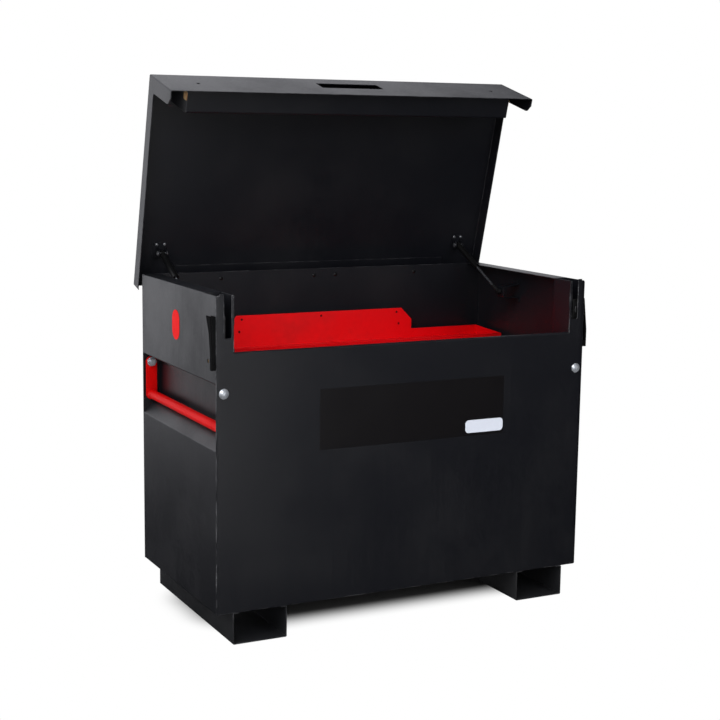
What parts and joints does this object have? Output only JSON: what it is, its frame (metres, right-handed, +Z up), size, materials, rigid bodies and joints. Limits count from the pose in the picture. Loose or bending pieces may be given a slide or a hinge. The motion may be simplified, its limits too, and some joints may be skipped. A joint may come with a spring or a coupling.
{
  "type": "jobsite box",
  "caption": "Steel jobsite box with a hinged lid held open on gas struts, side recesses with drop handles, deadlocks, sliding tray and fork skids.",
  "frame": {"origin": "bottom centre of the whole object as it stands with the lid open", "axes": "+X to the right along the front, seen from in front; +Y from front to back; +Z up"},
  "size_m": [1.3, 0.7326, 1.6763],
  "materials": {
    "black_paint": "satin black powder coat on folded steel",
    "guard_black": "matt black paint",
    "red_paint": "bright red powder coat",
    "zinc": "bright zinc plate",
    "gold_zinc": "yellow passivated zinc plate",
    "strut_black": "gloss black enamel on tube",
    "rod_chrome": "ground and plated rod",
    "key_brass": "turned brass",
    "pin_steel": "drawn steel bar",
    "case_steel": "black oxide on pressed steel"
  },
  "bodies": {
    "box": {"box_hinge_leaf": "black_paint", "flap_guard_left": "guard_black", "flap_guard_right": "guard_black", "floor_panel": "black_paint", "fork_skid_left": "black_paint", "fork_skid_right": "black_paint", "front_panel": "black_paint", "handle_bolts_left": "zinc", "handle_bolts_right": "zinc", "handle_nuts_left": "zinc", "handle_nuts_right": "zinc", "hinge_bolts": "black_paint", "hinge_pin": "pin_steel", "lock_case_left": "case_steel", "lock_case_right": "case_steel", "lock_housing_left": "black_paint", "lock_housing_right": "black_paint", "rear_panel": "black_paint", "side_panel_left": "black_paint", "side_panel_right": "black_paint", "strut_foot_left": "black_paint", "strut_foot_right": "black_paint"},
    "lid": {"bracket_bolts_left": "zinc", "bracket_bolts_right": "zinc", "guide_plates": "gold_zinc", "lid_bracket_left": "black_paint", "lid_bracket_right": "black_paint", "lid_channel": "black_paint", "lid_hinge_leaf": "black_paint", "lid_shell": "black_paint", "lock_keep_left": "black_paint", "lock_keep_right": "black_paint"},
    "tray": {"tool_tray": "red_paint"},
    "left_handle": {"handle_left": "red_paint"},
    "left_key": {"key_barrel_left": "key_brass"},
    "left_bolt": {"lock_bolt_left": "zinc"},
    "left_cylinder": {"strut_cylinder_left": "strut_black"},
    "left_rod": {"strut_rod_left": "rod_chrome", "strut_foot_pin_left": "strut_black"},
    "right_handle": {"handle_right": "red_paint"},
    "right_key": {"key_barrel_right": "key_brass"},
    "right_bolt": {"lock_bolt_right": "zinc"},
    "right_cylinder": {"strut_cylinder_right": "strut_black"},
    "right_rod": {"strut_rod_right": "rod_chrome", "strut_foot_pin_right": "strut_black"}
  },
  "joints": [
    {"name": "lid_hinge", "type": "hinge", "parent": "box", "child": "lid", "pos_m": [0, 0.30749, 1.0154], "axis": [1, 0, 0], "range_deg": [0, 75], "stiffness_Nm_per_rad": 60, "springref_deg": -34.38},
    {"name": "tray_slide", "type": "slide", "parent": "box", "child": "tray", "axis": [0, -1, 0], "range_m": [0, 0.34]},
    {"name": "left_handle_swing", "type": "hinge", "parent": "box", "child": "left_handle", "pos_m": [-0.613, -0.03251, 0.76], "axis": [0, 1, 0], "range_deg": [-4, 95]},
    {"name": "left_key_turn", "type": "hinge", "parent": "box", "child": "left_key", "pos_m": [-0.635, -0.29451, 0.848], "axis": [-1, 0, 0], "range_deg": [0, 90]},
    {"name": "left_bolt_throw", "type": "slide", "parent": "box", "child": "left_bolt", "axis": [0, -1, 0], "range_m": [0, 0.0105]},
    {"name": "left_cylinder_pivot", "type": "hinge", "parent": "lid", "child": "left_cylinder", "pos_m": [-0.56, 0.31745, 1.10804], "axis": [1, 0, 0], "range_deg": [-77.76, 0]},
    {"name": "left_rod_stroke", "type": "slide", "parent": "left_cylinder", "child": "left_rod", "axis": [0, 0.8937, 0.4486], "range_m": [0, 0.11288]},
    {"name": "right_handle_swing", "type": "hinge", "parent": "box", "child": "right_handle", "pos_m": [0.613, -0.03251, 0.76], "axis": [0, -1, 0], "range_deg": [-4, 95]},
    {"name": "right_key_turn", "type": "hinge", "parent": "box", "child": "right_key", "pos_m": [0.635, -0.29451, 0.848], "axis": [1, 0, 0], "range_deg": [0, 90]},
    {"name": "right_bolt_throw", "type": "slide", "parent": "box", "child": "right_bolt", "axis": [0, -1, 0], "range_m": [0, 0.0105]},
    {"name": "right_cylinder_pivot", "type": "hinge", "parent": "lid", "child": "right_cylinder", "pos_m": [0.56, 0.31745, 1.10804], "axis": [1, 0, 0], "range_deg": [-77.76, 0]},
    {"name": "right_rod_stroke", "type": "slide", "parent": "right_cylinder", "child": "right_rod", "axis": [0, 0.8937, 0.4486], "range_m": [0, 0.11288]}
  ],
  "couplings": [
    {"joint": "left_key_turn", "follows": "left_bolt_throw", "rad_per_m": 149.52},
    {"joint": "left_cylinder_pivot", "follows": "lid_hinge", "ratio": -1.0361},
    {"joint": "left_rod_stroke", "follows": "lid_hinge", "m_per_rad": 0.086199},
    {"joint": "right_key_turn", "follows": "right_bolt_throw", "rad_per_m": 149.52},
    {"joint": "right_cylinder_pivot", "follows": "lid_hinge", "ratio": -1.0361},
    {"joint": "right_rod_stroke", "follows": "lid_hinge", "m_per_rad": 0.086199}
  ]
}
